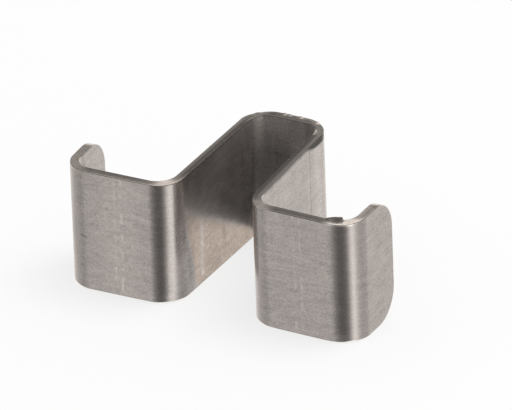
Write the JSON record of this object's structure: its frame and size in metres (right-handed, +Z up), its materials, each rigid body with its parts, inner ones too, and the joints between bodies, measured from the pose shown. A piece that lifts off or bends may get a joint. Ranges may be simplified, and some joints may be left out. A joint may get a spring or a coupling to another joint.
{
  "type": "probe clamp",
  "caption": "Folded stainless strip whose deep central channel holds a probe between its legs, with flat panels and rounded hook lips at the sides.",
  "frame": {"origin": "the middle of the clamp's box, at the plane that its lower long edge stands on", "axes": "+X along the panels from the left lip to the right lip, +Y from the channel's open front to the web, +Z up, across the strip"},
  "size_m": [0.0452, 0.0266, 0.0186],
  "materials": {
    "stainless_sheet": "mill-finish stainless sheet with a fine grain along the strip"
  },
  "bodies": {
    "root": {"clamp_strip": "stainless_sheet"}
  },
  "joints": []
}
